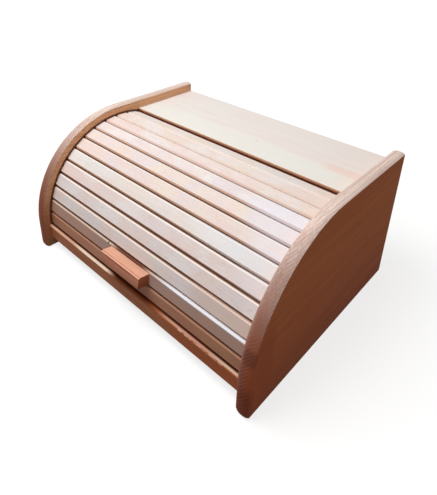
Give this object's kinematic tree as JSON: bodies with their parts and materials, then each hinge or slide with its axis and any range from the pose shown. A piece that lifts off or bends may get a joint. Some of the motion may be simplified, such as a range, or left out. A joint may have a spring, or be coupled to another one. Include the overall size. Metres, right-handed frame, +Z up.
{
  "type": "tambour lid box",
  "caption": "Wooden storage box with a slatted roll-back shutter, quarter-round end boards, a recessed top shelf and a small block handle.",
  "frame": {"origin": "middle of the footprint, on the surface that the box stands on", "axes": "+X along the box's width to its right end board, +Y from the shutter to the back board, +Z up"},
  "size_m": [0.39, 0.3, 0.185],
  "materials": {
    "beech_side": "clear satin",
    "beech_board": "clear satin",
    "beech_back": "clear satin",
    "beech_rail": "clear satin",
    "beech_slat": "clear satin",
    "beech_handle": "clear satin",
    "plywood": "bare, sanded",
    "dowel": "bare",
    "canvas": "woven cotton",
    "screw": "zinc plated"
  },
  "bodies": {
    "case": {"left_side": "beech_side", "right_side": "beech_side", "top_board": "beech_board", "back_board": "beech_back", "front_rail": "beech_rail", "bottom_panel": "plywood", "top_board_dowels": "dowel", "back_board_dowels": "dowel"},
    "shutter": {"slat_01": "beech_slat", "slat_02": "beech_slat", "slat_03": "beech_slat", "slat_04": "beech_slat", "slat_05": "beech_slat", "slat_06": "beech_slat", "slat_07": "beech_slat", "slat_08": "beech_slat", "slat_09": "beech_slat", "slat_10": "beech_slat", "slat_11": "beech_slat", "slat_12": "beech_slat", "slat_13": "beech_slat", "canvas_backing": "canvas", "handle": "beech_handle", "handle_screws": "screw"}
  },
  "joints": [
    {"name": "shutter_run", "type": "hinge", "parent": "case", "child": "shutter", "pos_m": [0, -0.005, 0.04], "axis": [-1, 0, 0], "range_deg": [0, 71.5]}
  ]
}
